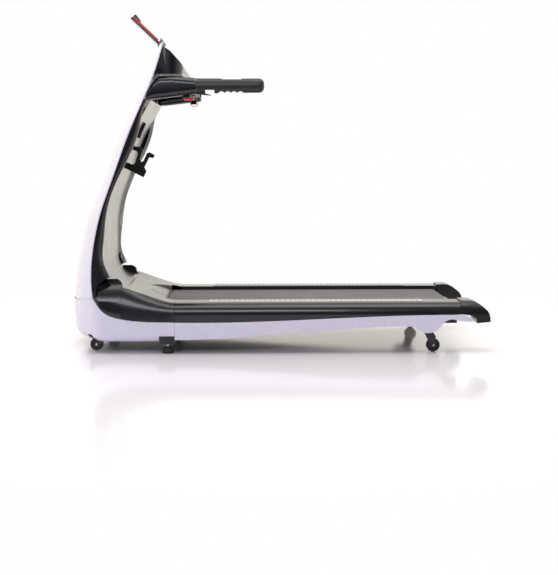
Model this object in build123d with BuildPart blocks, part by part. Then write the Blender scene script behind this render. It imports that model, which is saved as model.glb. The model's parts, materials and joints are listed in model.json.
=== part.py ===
from build123d import *
import math
import os

# A folding motorised treadmill: a low deck with a running belt, and a mast that hinges at the front.
# Millimetres. X runs along the deck (front at -X), Y across it, Z up from the floor.

# ---- driving dimensions -------------------------------------------------------------------------
front_x = -825            # foremost point of the casing
rear_x = 825              # rear of the end caps
half_width = 360          # casing, at its widest
waist_z = 150             # height of the widest line
casing_floor = 45         # underside of the front casing
side_draft = 9            # how far the casing narrows below the waist
front_bulge = 130         # how far the nose stands ahead of its corners
corner_radius = 90
chin_radius = 38
wall = 3.5                # moulded walls
seam_gap = 0.8            # shown gap between two mouldings

seam_x = -397             # front casing meets the side skirts
cap_x = 712               # side skirts meet the end caps
rail_top = 196
rail_inner = 236
rail_edge = 322           # where the rail's flat top turns down
insert_start, insert_end = -264, 568
insert_proud = 2.5

pivot_x, pivot_z = -640, 238    # mast hinge axis
fold_angle = 66
seam_angle = 196          # the mast's front seam, seen from the hinge axis
neck_radius = 168         # neck cover at mid-width
neck_edge_radius = 64     # neck cover at its ends
neck_half_width = 334
knuckle_radius = 52
knuckle_inner = 288       # knuckle covers start here
rib_clear_radius = 56     # hollow of the mast's ribs around the knuckles
tongue_radius = 50        # reach of the mast panel's lower lip
panel_half_width = 287
pin_radius = 9
bush_radius = 12.5
running_gap = 0.05        # radial clearance of a shaft in its bush
body_gap = 0.4            # between faces that move past each other

belt_top = 182
belt_thickness = 2.5
belt_half_width = 225
front_roller_x, front_roller_radius = -480, 25
rear_roller_x, rear_roller_radius = 686, 21
roller_shaft_radius = 8
deck_thickness = 18
deck_half_width = 290
tube_y, tube_width, tube_height, tube_wall = 280, 30, 36, 3
cushion_height = 16
motor_x, motor_z, motor_radius = -555, 102, 40
motor_shaft_radius = 6
drive_pulley_radius, motor_pulley_radius = 34, 17
pulley_y, pulley_width = 234, 16
drive_belt_thickness = 3

foot_x, foot_y = -424, 330
stud_y, stud_radius = 325, 5
wheel_radius, wheel_width, wheel_y = 26, 24, 312
rear_wheel_x = 609
transport_x, transport_z, transport_radius = -702, 32, 25
axle_radius = 4

arm_y, arm_half_width = 300, 27
arm_end_x = -312
grip_pin_back = 28.6      # from the arm's end to the grip's hinge pin
grip_length = 263
flap_x, flap_z = -461, 1192
flap_lean = 137           # direction of the open tablet flap
flap_length = 150
flap_half_width = 128
key_x, key_y, key_top = -345, -288, 978.6

belt_z = belt_top - belt_thickness            # underside of the belt's top run
deck_z = belt_z - 1.5                         # top of the deck board
front_roller_z = belt_z - front_roller_radius
rear_roller_z = belt_z - rear_roller_radius
tube_top = deck_z - deck_thickness - cushion_height
tube_z = tube_top - tube_height / 2

os.makedirs("parts", exist_ok=True)


def save(piece, label):
    piece.part.label = label
    export_step(piece.part, f"parts/{label}.step")


def polar(radius, degrees):
    """A point around the mast's hinge axis, in X and Z."""
    a = math.radians(degrees)
    return (pivot_x + radius * math.cos(a), pivot_z + radius * math.sin(a))


def cylinder_y(x, z, radius, y0, y1, mode=Mode.ADD):
    with Locations((x, (y0 + y1) / 2, z)):
        Cylinder(radius, y1 - y0, rotation=(90, 0, 0), mode=mode)


def box_between(low, high, mode=Mode.ADD):
    size = [b - a for a, b in zip(low, high)]
    with Locations(tuple((a + b) / 2 for a, b in zip(low, high))):
        Box(*size, mode=mode)


def both_sides(maker, label):
    """Makes the +Y piece and its mirror image, as two nodes."""
    right = maker()
    save(right, f"{label}_right")
    with BuildPart() as left:
        add(mirror(right.part, about=Plane.XZ))
    save(left, f"{label}_left")


def pair(maker, label):
    """Makes one node of the +Y piece and its mirror image."""
    one = maker()
    with BuildPart() as group:
        add(one.part)
        add(mirror(one.part, about=Plane.XZ))
    save(group, label)


# ---- outlines shared by the casings ------------------------------------------------------------
seam_slope = math.tan(math.radians(seam_angle - 180))
seam_front = (front_x - 80, pivot_z - seam_slope * (pivot_x - front_x + 80))
colour_line = [(-711, pivot_z + seam_slope * (-711 - pivot_x)), (-695, 193), (-672, 166), (-640, 147),
               (-592, 135), (-525, 127), (seam_x, 123.5)]
skirt_line = [(seam_x, 123.5), (-44, 127), (318, 142), (cap_x, waist_z)]
skirt_bottom = [(seam_x, 54), (-44, 71), (257, 95), (474, 105)]


def plan_face(inset, z):
    """Plan of the front casing: straight flanks, rounded corners and a bowed nose."""
    w = half_width - inset
    nose = front_x + inset
    with BuildSketch(Plane.XY.offset(z)) as plan:
        with BuildLine():
            ThreePointArc((nose + front_bulge, -w), (nose, 0), (nose + front_bulge, w))
            Polyline((nose + front_bulge, w), (seam_x, w), (seam_x, -w), (nose + front_bulge, -w))
        make_face()
        fillet(plan.vertices().group_by(Axis.X)[0], corner_radius - inset)
    return plan.sketch


def casing_solid(inset):
    """The front casing's outer form, taken in by a wall."""
    with BuildPart() as form:
        add(plan_face(inset, waist_z))
        add(plan_face(inset + side_draft, casing_floor + inset))
        loft()
        bottom = form.faces().sort_by(Axis.Z)[0].edges().filter_by(lambda e: e.center().X < seam_x - 1)
        fillet(bottom, chin_radius - inset)
        add(plan_face(inset, waist_z))
        extrude(amount=160)
    return form


outer_casing = casing_solid(0)
inner_casing = casing_solid(wall)

wheel_y0, wheel_y1 = wheel_y - wheel_width / 2, wheel_y + wheel_width / 2
transport_y0, transport_y1 = wheel_y0 - 20, wheel_y1 - 20
well_low = ((transport_x - transport_radius - 10, -transport_y1 - 8, 0), (-645, -transport_y0 + 8, 70))
well_high = ((transport_x - transport_radius - 10, transport_y0 - 8, 0), (-645, transport_y1 + 8, 70))



def pan_room(inset):
    """The opening under the casing that the bottom pan closes."""
    with BuildPart() as room:
        add(plan_face(side_draft + chin_radius + inset, casing_floor - 1))
        extrude(amount=8)
        box_between((front_x, inset - 290, 0), (seam_x, 290 - inset, 60), mode=Mode.INTERSECT)
    return room


# ---- white front casing ----------------------------------------------------------------------------
with BuildPart() as front_casing:
    add(outer_casing.part)
    add(inner_casing.part, mode=Mode.SUBTRACT)
    with BuildSketch(Plane.XZ):
        with BuildLine():
            Line(seam_front, colour_line[0])
            Spline(*colour_line)
            Polyline(colour_line[-1], (seam_x, 0), (seam_front[0], 0), seam_front)
        make_face()
    extrude(amount=half_width + 10, both=True, mode=Mode.INTERSECT)
    add(pan_room(0).part, mode=Mode.SUBTRACT)
    box_between((foot_x - 33, -400, 0), (seam_x, 400, 69), mode=Mode.SUBTRACT)
    box_between(*well_low, mode=Mode.SUBTRACT)
    box_between(*well_high, mode=Mode.SUBTRACT)
    box_between((front_x - 5, 92, 84), (-760, 168, 118), mode=Mode.SUBTRACT)
save(front_casing, "front_casing")

with BuildPart() as bottom_pan:
    add(pan_room(seam_gap).part)
    box_between((front_x, -300, casing_floor), (seam_x, 300, casing_floor + 3), mode=Mode.INTERSECT)
    box_between(*well_low, mode=Mode.SUBTRACT)
    box_between(*well_high, mode=Mode.SUBTRACT)
save(bottom_pan, "bottom_pan")


# ---- neck cover: a surface of revolution about the hinge axis -------------------------------------
neck_start, neck_end = 126, 212
neck_plane = Plane(origin=(pivot_x, 0, pivot_z), x_dir=(0, 1, 0),
                   z_dir=(math.sin(math.radians(neck_start)), 0, -math.cos(math.radians(neck_start))))
with BuildPart() as neck_cover:
    with BuildSketch(neck_plane):
        with BuildLine():
            ThreePointArc((-neck_half_width, neck_edge_radius), (0, neck_radius),
                          (neck_half_width, neck_edge_radius))
            Line((neck_half_width, neck_edge_radius), (neck_half_width, neck_edge_radius - wall))
            ThreePointArc((neck_half_width, neck_edge_radius - wall), (0, neck_radius - wall),
                          (-neck_half_width, neck_edge_radius - wall))
            Line((-neck_half_width, neck_edge_radius - wall), (-neck_half_width, neck_edge_radius))
        make_face()
    revolve(axis=Axis((pivot_x, 0, pivot_z), (0, 1, 0)), revolution_arc=-(neck_end - neck_start))
    for side in (-1, 1):
        y0, y1 = sorted((side * (knuckle_inner - 3), side * 360))
        box_between((-800, y0, 0), (-500, y1, 222), mode=Mode.SUBTRACT)
save(neck_cover, "neck_cover")


# ---- motor hood: black moulding over the motor, with the scoop down to the belt --------------------
hood_stations = [(-602, 257, 245), (-560, 244, 238), (-520, 229, 226), (-470, 212, 212),
                 (-430, 201, 202), (seam_x, rail_top, rail_top)]     # x, shoulder height, middle height
hood_floor = 100


def hood_form(inset):
    with BuildPart() as form:
        for x, shoulder, middle in hood_stations:
            w = half_width - inset
            top = shoulder - inset
            mid_z = middle - inset
            with BuildSketch(Plane.YZ.offset(x)):
                with BuildLine():
                    Line((-w, hood_floor), (w, hood_floor))
                    Line((w, hood_floor), (w, waist_z))
                    ThreePointArc((w, waist_z), (w - 10, (top + waist_z) / 2 + 8), (rail_edge, top))
                    Spline((rail_edge, top), (200, (2 * top + 3 * mid_z) / 5), (0, mid_z),
                           (-200, (2 * top + 3 * mid_z) / 5), (-rail_edge, top))
                    ThreePointArc((-rail_edge, top), (10 - w, (top + waist_z) / 2 + 8), (-w, waist_z))
                    Line((-w, waist_z), (-w, hood_floor))
                make_face()
        loft()
    return form


scoop_front, scoop_lip = -520, -440
scoop_top_z, scoop_lip_z = 226, 189
scoop_slope = (scoop_top_z - scoop_lip_z) / (scoop_lip - scoop_front)


def scoop_form(grow):
    """The space of the scoop: bowed in plan, above a sloping floor."""
    back = seam_x + 20
    drop = grow * 1.2
    with BuildPart() as form:
        with BuildSketch(Plane.XY.offset(100)):
            with BuildLine():
                ThreePointArc((back, -rail_inner - 4 - grow), (scoop_front - grow, 0),
                              (back, rail_inner + 4 + grow))
                Line((back, rail_inner + 4 + grow), (back, -rail_inner - 4 - grow))
            make_face()
        extrude(amount=200)
        with BuildSketch(Plane.XZ):
            with BuildLine():
                high = scoop_top_z - drop + 30 * scoop_slope
                low = scoop_top_z - drop - scoop_slope * (back + 5 - scoop_front)
                Polyline((scoop_front - 30, high), (back + 5, low), (back + 5, 400),
                         (scoop_front - 30, 400), (scoop_front - 30, high))
            make_face()
        extrude(amount=400, both=True, mode=Mode.INTERSECT)
    return form


hood_outer = hood_form(0)
hood_inner = hood_form(wall)
with BuildPart() as scoop_shell:
    add(scoop_form(wall).part)
    add(hood_outer.part, mode=Mode.INTERSECT)
with BuildPart() as motor_hood:
    add(hood_outer.part)
    add(hood_inner.part, mode=Mode.SUBTRACT)
    add(scoop_shell.part)
    add(scoop_form(0).part, mode=Mode.SUBTRACT)
    box_between((scoop_lip, -rail_inner, 90), (seam_x + 1, rail_inner, 260), mode=Mode.SUBTRACT)
    box_between((-620, -400, 90), (-590, 400, 130), mode=Mode.SUBTRACT)
    with BuildSketch(Plane.XZ):
        with BuildLine():
            Spline(*[(x, z + seam_gap) for x, z in colour_line])
            Polyline((seam_x, 123.5 + seam_gap), (seam_x, 400), (-711, 400),
                     (colour_line[0][0], colour_line[0][1] + seam_gap))
        make_face()
    extrude(amount=half_width, both=True, mode=Mode.INTERSECT)
    cylinder_y(pivot_x, pivot_z, tongue_radius + 2.5, -knuckle_inner, knuckle_inner, mode=Mode.SUBTRACT)
    box_between((-700, -400, 90), (pivot_x + 40, 400, 400), mode=Mode.SUBTRACT)
save(motor_hood, "motor_hood")


# ---- knuckle covers: the black drums that the mast's ribs turn around -----------------------------
def knuckle_form(inset, y0):
    inner = knuckle_radius - inset
    line = [(x + inset * 0.5, z + seam_gap + inset) for x, z in colour_line[:5]]
    with BuildPart() as form:
        with BuildSketch(Plane.XZ.offset(-y0)):
            with BuildLine():
                Spline(*line)
                Polyline(line[-1], (line[-1][0], pivot_z), (pivot_x, pivot_z), line[0])
            make_face()
            with Locations((pivot_x, pivot_z)):
                Circle(inner)
        extrude(amount=-(half_width + 20))
        add(casing_solid(inset + 0.3).part, mode=Mode.INTERSECT)
        w = half_width - inset
        with BuildSketch(Plane.YZ.offset(front_x)):
            with BuildLine():
                ThreePointArc((w, waist_z), (w - 10, 211.5 - inset / 2), (rail_edge - inset, 257 - inset))
                ThreePointArc((rail_edge - inset, 257 - inset), (303.8 - inset, 274 - inset),
                              (270, 292 - inset))
                Polyline((270, 292 - inset), (270, 100), (w, 100), (w, waist_z))
            make_face()
        extrude(amount=pivot_x + 60 - front_x, mode=Mode.INTERSECT)
        box_between((pivot_x + 40 - seam_gap, 0, 0), (0, 500, 500), mode=Mode.SUBTRACT)
    return form


def knuckle_cover():
    with BuildPart() as cover:
        add(knuckle_form(0, knuckle_inner - 3).part)
        add(knuckle_form(wall, knuckle_inner - 0.6).part, mode=Mode.SUBTRACT)
        cylinder_y(pivot_x, pivot_z, pin_radius + 1, 280, 295, mode=Mode.SUBTRACT)
        box_between((-672, 280, 100), (-590, tube_y + 22, 178), mode=Mode.SUBTRACT)
    return cover


pair(knuckle_cover, "knuckle_covers")


# ---- side mouldings: one section along the deck, cut by the side outlines --------------------------
with BuildPart() as side_section:
    with BuildSketch(Plane.YZ.offset(seam_x + seam_gap)):
        with BuildLine():
            Polyline((rail_inner, deck_z + 2), (rail_inner, rail_top), (rail_edge, rail_top))
            ThreePointArc((rail_edge, rail_top), (half_width - 10, (rail_top + waist_z) / 2 + 8),
                          (half_width, waist_z))
            Line((half_width, waist_z), (half_width - side_draft, casing_floor))
            Line((half_width - side_draft, casing_floor), (half_width - side_draft - wall, casing_floor))
            Line((half_width - side_draft - wall, casing_floor), (half_width - wall, waist_z))
            ThreePointArc((half_width - wall, waist_z), (half_width - 13, (rail_top + waist_z) / 2 + 5),
                          (rail_edge - 1, rail_top - wall))
            Polyline((rail_edge - 1, rail_top - wall), (rail_inner + 3, rail_top - wall),
                     (rail_inner + 3, deck_z + 2), (rail_inner, deck_z + 2))
        make_face()
    extrude(amount=cap_x + 60 - seam_x)


def side_band():
    with BuildPart() as band:
        add(side_section.part)
        with BuildSketch(Plane.XZ):
            with BuildLine():
                Spline(*skirt_line)
                Polyline(skirt_line[-1], (cap_x, 300), (seam_x, 300), skirt_line[0])
            make_face()
        extrude(amount=-400, mode=Mode.INTERSECT)
    return band


def side_skirt():
    with BuildPart() as skirt:
        add(side_section.part)
        with BuildSketch(Plane.XZ):
            with BuildLine():
                Spline(*[(x, z - seam_gap) for x, z in skirt_line])
                end_top = skirt_line[-1][1] - seam_gap
                Spline((cap_x, end_top), (742, 142), (761, 130), (767, 121.5), tangents=[(1, 0), (0, -1)])
                Polyline((767, 121.5), (718, 123), (699, 125))
                Spline((699, 125), (649, 121), (618, 90), (584, 77), (552, 87), (532, 103))
                Polyline((532, 103), skirt_bottom[-1])
                Spline(*reversed(skirt_bottom))
                Line(skirt_bottom[0], (seam_x, 123.5 - seam_gap))
            make_face()
        extrude(amount=-400, mode=Mode.INTERSECT)
    return skirt


def end_cap_form(inset):
    with BuildPart() as form:
        with BuildSketch(Plane.YZ.offset(cap_x + seam_gap)):
            with BuildLine():
                Polyline((rail_inner + inset, 90), (rail_inner + inset, rail_top + 8 - inset),
                         (rail_edge - 8, rail_top + 8 - inset))
                ThreePointArc((rail_edge - 8, rail_top + 8 - inset), (half_width - 10 - inset, 182),
                              (half_width - inset, waist_z))
                Polyline((half_width - inset, waist_z), (half_width - inset, 90), (rail_inner + inset, 90))
            make_face()
        extrude(amount=rear_x - cap_x)
        with BuildSketch(Plane.XZ):
            with BuildLine():
                front = cap_x + seam_gap - (1 if inset else 0)
                Spline((front, rail_top + 5 - inset), (767, 198 - inset), (805 - inset, 172 - inset / 2),
                       (rear_x - inset, 128), tangents=[(1, 0.05), (0.1, -1)])
                Polyline((rear_x - inset, 128), (rear_x - inset, 121 - inset), (772, 116 - inset))
                Spline((772, 116 - inset), (768.5, 133), (746, 146), (front, waist_z + 1))
                Line((front, waist_z + 1), (front, rail_top + 5 - inset))
            make_face()
        extrude(amount=-400, mode=Mode.INTERSECT)
    return form


def end_cap():
    with BuildPart() as cap:
        add(end_cap_form(0).part)
        add(end_cap_form(wall).part, mode=Mode.SUBTRACT)
    return cap


def rail_insert():
    y_middle = (rail_inner + rail_edge) / 2 + 2
    with BuildPart() as insert:
        with BuildSketch(Plane.XY.offset(rail_top)):
            with Locations(((insert_start + insert_end) / 2, y_middle)):
                RectangleRounded(insert_end - insert_start, 66, 6)
        extrude(amount=insert_proud)
        fillet(insert.faces().sort_by(Axis.Z)[-1].edges(), 1.2)
    return insert


pair(side_band, "side_bands")
pair(side_skirt, "side_skirts")
pair(end_cap, "end_caps")
pair(rail_insert, "rail_inserts")


# ---- steel base frame --------------------------------------------------------------------------------
def tube_x(x0, x1, y, z, width, height, thickness):
    box_between((x0, y - width / 2, z - height / 2), (x1, y + width / 2, z + height / 2))
    box_between((x0 - 1, y - width / 2 + thickness, z - height / 2 + thickness),
                (x1 + 1, y + width / 2 - thickness, z + height / 2 - thickness), mode=Mode.SUBTRACT)


front_bar_x0, front_bar_x1 = -662, -628
foot_bar_z0, rear_bar_z0 = 76, 82
tube_bottom = tube_top - tube_height


def hollow_bar(x0, x1, half_length, z0, z1):
    box_between((x0, -half_length, z0), (x1, half_length, z1))
    box_between((x0 + tube_wall, -half_length - 1, z0 + tube_wall),
                (x1 - tube_wall, half_length + 1, z1 - tube_wall), mode=Mode.SUBTRACT)


with BuildPart() as base_frame:
    hollow_bar(front_bar_x0, front_bar_x1, 300, tube_bottom, tube_top)
    hollow_bar(-440, -408, 338, foot_bar_z0, tube_bottom)
    hollow_bar(572, 604, 326, rear_bar_z0, tube_bottom)
    for side in (-1, 1):
        with BuildPart(mode=Mode.PRIVATE) as side_tube:
            tube_x(front_bar_x1, cap_x - 6, side * tube_y, tube_z, tube_width, tube_height, tube_wall)
        add(side_tube.part)
        y0, y1 = sorted((side * 290, side * 298))
        with BuildPart(mode=Mode.PRIVATE) as hinge_bracket:
            with BuildSketch(Plane.XZ.offset(-y0)):
                with BuildLine():
                    Polyline((front_bar_x0, tube_top), (front_bar_x1 + 6, tube_top),
                             (pivot_x + 20, pivot_z - 8), (pivot_x - 20, pivot_z - 8),
                             (front_bar_x0, tube_top))
                make_face()
                with Locations((pivot_x, pivot_z)):
                    Circle(24)
            extrude(amount=-(y1 - y0))
            cylinder_y(pivot_x, pivot_z, pin_radius, -400, 400, mode=Mode.SUBTRACT)
        add(hinge_bracket.part)
save(base_frame, "base_frame")

with BuildPart() as deck_board:
    box_between((-432, -deck_half_width, deck_z - deck_thickness), (650, deck_half_width, deck_z))
    fillet(deck_board.edges().filter_by(Axis.Z), 12)
save(deck_board, "deck_board")

with BuildPart() as deck_cushions:
    for side in (-1, 1):
        for x in (-380, -190, 40, 270, 480, 615):
            with Locations((x, side * tube_y, tube_top + cushion_height / 2)):
                Cylinder(13, cushion_height)
save(deck_cushions, "deck_cushions")


def belt_loop(radius):
    """Side outline of the belt's path: two rollers and their tangents."""
    x0, z0, r0 = front_roller_x, front_roller_z, front_roller_radius + radius
    x1, z1, r1 = rear_roller_x, rear_roller_z, rear_roller_radius + radius
    tilt = math.atan2(z1 - z0, x1 - x0)
    spread = math.acos((r0 - r1) / math.hypot(x1 - x0, z1 - z0))
    tangent_points = []
    for sign in (1, -1):
        a = tilt + sign * spread
        tangent_points.append(((x0 + r0 * math.cos(a), z0 + r0 * math.sin(a)),
                               (x1 + r1 * math.cos(a), z1 + r1 * math.sin(a))))
    (top0, top1), (low0, low1) = tangent_points
    with BuildSketch(Plane.XZ) as path:
        with BuildLine():
            Line(top0, top1)
            ThreePointArc(top1, (x1 + r1, z1), low1)
            Line(low1, low0)
            ThreePointArc(low0, (x0 - r0, z0), top0)
        make_face()
    return path.sketch


with BuildPart() as running_belt:
    with BuildSketch(Plane.XZ):
        add(belt_loop(belt_thickness))
        add(belt_loop(0.4), mode=Mode.SUBTRACT)
    extrude(amount=belt_half_width, both=True)
save(running_belt, "running_belt")


# ---- rollers, their bearings, shafts and brackets -----------------------------------------------------
def roller_set(x, z, radius, label):
    tube_end = belt_half_width - 3
    bearing_out = radius - 3
    bearing_in = roller_shaft_radius + running_gap
    with BuildPart() as roller:
        cylinder_y(x, z, radius, -tube_end, tube_end)
        cylinder_y(x, z, bearing_out, -tube_end - 1, tube_end + 1, mode=Mode.SUBTRACT)
    save(roller, f"{label}_roller")
    with BuildPart() as bearings:
        for side in (-1, 1):
            y0, y1 = sorted((side * (tube_end - 14), side * (tube_end - 1)))
            cylinder_y(x, z, bearing_out, y0, y1)
        cylinder_y(x, z, bearing_in, -tube_end, tube_end, mode=Mode.SUBTRACT)
    save(bearings, f"{label}_roller_bearings")


roller_set(front_roller_x, front_roller_z, front_roller_radius, "front")
roller_set(rear_roller_x, rear_roller_z, rear_roller_radius, "rear")
roller_axes = [(front_roller_x, front_roller_z), (rear_roller_x, rear_roller_z)]

with BuildPart() as roller_shafts:
    for x, z in roller_axes:
        cylinder_y(x, z, roller_shaft_radius, -tube_y - 12, tube_y + 12)
    chamfer(roller_shafts.edges().filter_by(GeomType.CIRCLE), 1)
save(roller_shafts, "roller_shafts")

with BuildPart() as roller_brackets:
    for x, z in roller_axes:
        for side in (-1, 1):
            y0, y1 = sorted((side * (tube_y - 10), side * (tube_y + 10)))
            box_between((x - 16, y0, tube_top), (x + 16, y1, z + 12))
        cylinder_y(x, z, roller_shaft_radius, -tube_y - 20, tube_y + 20, mode=Mode.SUBTRACT)
save(roller_brackets, "roller_brackets")

with BuildPart() as drive_pulley:
    cylinder_y(front_roller_x, front_roller_z, drive_pulley_radius, pulley_y, pulley_y + pulley_width)
    cylinder_y(front_roller_x, front_roller_z, front_roller_radius - 3, belt_half_width - 0.9, pulley_y + 1)
    for step in range(6):
        a = math.radians(60 * step)
        hole_x = front_roller_x + 22 * math.cos(a)
        hole_z = front_roller_z + 22 * math.sin(a)
        cylinder_y(hole_x, hole_z, 5, pulley_y - 1, pulley_y + pulley_width + 1, mode=Mode.SUBTRACT)
    cylinder_y(front_roller_x, front_roller_z, roller_shaft_radius + running_gap,
               belt_half_width - 5, pulley_y + pulley_width + 1, mode=Mode.SUBTRACT)
    cylinder_y(front_roller_x, front_roller_z, front_roller_radius - 3,
               belt_half_width - 5, belt_half_width - 3.9, mode=Mode.SUBTRACT)
save(drive_pulley, "drive_pulley")


# ---- motor and its drive ----------------------------------------------------------------------------
motor_y0, motor_y1 = 60, 222
with BuildPart() as motor_body:
    cylinder_y(motor_x, motor_z, motor_radius, motor_y0, motor_y1)
    fillet(motor_body.edges().filter_by(GeomType.CIRCLE), 4)
    cylinder_y(motor_x, motor_z, motor_shaft_radius + running_gap, motor_y0 - 1, motor_y1 + 1,
               mode=Mode.SUBTRACT)
    box_between((motor_x - 30, motor_y0 + 20, casing_floor + 3), (motor_x + 30, motor_y1 - 20, motor_z - 30))
    cylinder_y(motor_x, motor_z, 20, motor_y0 + 10, motor_y1 - 10, mode=Mode.SUBTRACT)
save(motor_body, "motor_body")

with BuildPart() as motor_shaft:
    cylinder_y(motor_x, motor_z, motor_shaft_radius, motor_y0 - 16, pulley_y + pulley_width + 2)
save(motor_shaft, "motor_shaft")

with BuildPart() as motor_pulley:
    cylinder_y(motor_x, motor_z, motor_pulley_radius, pulley_y, pulley_y + pulley_width)
    cylinder_y(motor_x, motor_z, motor_shaft_radius, pulley_y - 1, pulley_y + pulley_width + 1,
               mode=Mode.SUBTRACT)
save(motor_pulley, "motor_pulley")


def drive_loop(grow):
    x0, z0, r0 = motor_x, motor_z, motor_pulley_radius + grow
    x1, z1, r1 = front_roller_x, front_roller_z, drive_pulley_radius + grow
    distance = math.hypot(x1 - x0, z1 - z0)
    tilt = math.atan2(z1 - z0, x1 - x0)
    spread = math.acos((r0 - r1) / distance)
    ends = []
    for sign in (1, -1):
        a = tilt + sign * spread
        ends.append(((x0 + r0 * math.cos(a), z0 + r0 * math.sin(a)),
                     (x1 + r1 * math.cos(a), z1 + r1 * math.sin(a))))
    (top0, top1), (low0, low1) = ends
    far = (x1 + r1 * math.cos(tilt), z1 + r1 * math.sin(tilt))
    near = (x0 - r0 * math.cos(tilt), z0 - r0 * math.sin(tilt))
    with BuildSketch(Plane.XZ) as path:
        with BuildLine():
            Line(top0, top1)
            ThreePointArc(top1, far, low1)
            Line(low1, low0)
            ThreePointArc(low0, near, top0)
        make_face()
    return path.sketch


with BuildPart() as drive_belt:
    with BuildSketch(Plane.XZ):
        add(drive_loop(drive_belt_thickness))
        add(drive_loop(body_gap), mode=Mode.SUBTRACT)
    extrude(amount=-(pulley_y + pulley_width - 2))
    box_between((-800, 0, 0), (0, pulley_y + 2, 400), mode=Mode.SUBTRACT)
save(drive_belt, "drive_belt")

with BuildPart() as motor_controller:
    box_between((-622, -190, casing_floor + 3), (-500, -40, 96))
    fillet(motor_controller.edges().filter_by(Axis.Z), 5)
    for n in range(7):
        x = -608 + n * 16
        box_between((x, -186, 90), (x + 9, -44, 97), mode=Mode.SUBTRACT)
save(motor_controller, "motor_controller")


# ---- mast ---------------------------------------------------------------------------------------------
# height, middle of the outer face, its edge, the ribs' inner face, half width
mast_stations = [(180, -818, -705, -640, 350), (232, -816, -713, -640, 350), (282, -810, -716, -640, 350),
                 (342, -799, -714, -664, 350), (443, -779, -700, -664, 350), (584, -727, -662, -643, 348),
                 (720, -673, -612, -583, 344), (862, -615, -558, -524, 338), (1000, -549, -496, -466, 334),
                 (1100, -501, -457, -430, 331), (1186, -466, -430, -410, 329)]
panel_line = [(-482, 971), (-509, 924), (-539, 870), (-600, 720), (-654, 584), (-675, 440), (-676, 350),
              (-668, 304), (-647, 272), (-619, 256), (-590, 246)]

with BuildPart() as mast_shell:
    for z, middle, edge, rib, half in mast_stations:
        with BuildSketch(Plane.XY.offset(z)):
            with BuildLine():
                ThreePointArc((edge, -half), (middle, 0), (edge, half))
                Line((edge, half), (edge + wall, half))
                ThreePointArc((edge + wall, half), (middle + wall, 0), (edge + wall, -half))
                Line((edge + wall, -half), (edge, -half))
            make_face()
    loft()
    with BuildSketch(Plane.XZ):
        with BuildLine():
            Polyline((pivot_x, pivot_z + seam_gap), (seam_front[0], seam_front[1] + seam_gap),
                     (seam_front[0], 1300), (-300, 1300), (pivot_x, pivot_z + seam_gap))
        make_face()
    extrude(amount=400, both=True, mode=Mode.INTERSECT)
save(mast_shell, "mast_shell")


def rib_form(inset):
    with BuildPart() as form:
        for z, middle, edge, rib, half in mast_stations[:-1]:
            front = edge + wall + 1.2 + inset
            with BuildSketch(Plane.XY.offset(z)):
                with BuildLine():
                    bulge = ((front + rib) / 2 + 4, half - 7 - inset)
                    ThreePointArc((front, half - 1 - inset), bulge, (rib - inset, half - 26))
                    Polyline((rib - inset, half - 26), (rib - 12 - inset, panel_half_width + inset),
                             (front - 7, panel_half_width + inset), (front, half - 1 - inset))
                make_face()
        loft()
    return form


with BuildPart() as inner_panel:
    with BuildSketch(Plane.XZ):
        with BuildLine():
            Spline(*panel_line)
            back_line = [(x - wall, z - wall * 0.6) for x, z in panel_line[:6]]
            back_line += [(x - wall * 0.8, z - wall * 0.8) for x, z in panel_line[6:9]]
            back_line += [(x - 1, z - wall) for x, z in panel_line[9:]]
            Line(panel_line[-1], back_line[-1])
            Spline(*reversed(back_line))
            Line(back_line[0], panel_line[0])
        make_face()
    extrude(amount=panel_half_width - 0.3, both=True)
    for side in (-1, 1):
        y0, y1 = sorted((side * (knuckle_inner - 3 - body_gap), side * 300))
        cylinder_y(pivot_x, pivot_z, rib_clear_radius, y0, y1, mode=Mode.SUBTRACT)
save(inner_panel, "inner_panel")


def mast_rib():
    with BuildPart() as rib:
        add(rib_form(0).part)
        add(rib_form(wall).part, mode=Mode.SUBTRACT)
        box_between((-800, 0, 972.5), (0, 400, 1300), mode=Mode.SUBTRACT)
        cylinder_y(pivot_x, pivot_z, rib_clear_radius, 200, 400, mode=Mode.SUBTRACT)
        with BuildPart(mode=Mode.PRIVATE) as neck_room:
            cylinder_y(pivot_x, pivot_z, 108, 200, neck_half_width + 2.5)
            box_between((-900, 200, 0), (-669, 400, 500), mode=Mode.INTERSECT)
        add(neck_room.part, mode=Mode.SUBTRACT)
        with BuildSketch(Plane.XZ):
            with BuildLine():
                Polyline((pivot_x, pivot_z + seam_gap), (seam_front[0], seam_front[1] + seam_gap),
                         (seam_front[0], 1300), (-300, 1300), (-300, 330), (pivot_x - 0.5, 330),
                         (pivot_x - 0.5, pivot_z + seam_gap), (pivot_x, pivot_z + seam_gap))
            make_face()
        extrude(amount=-400, mode=Mode.INTERSECT)
        with Locations((body_gap, 0, 0)):
            add(mast_shell.part, mode=Mode.SUBTRACT)
    return rib


pair(mast_rib, "mast_ribs")

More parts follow.
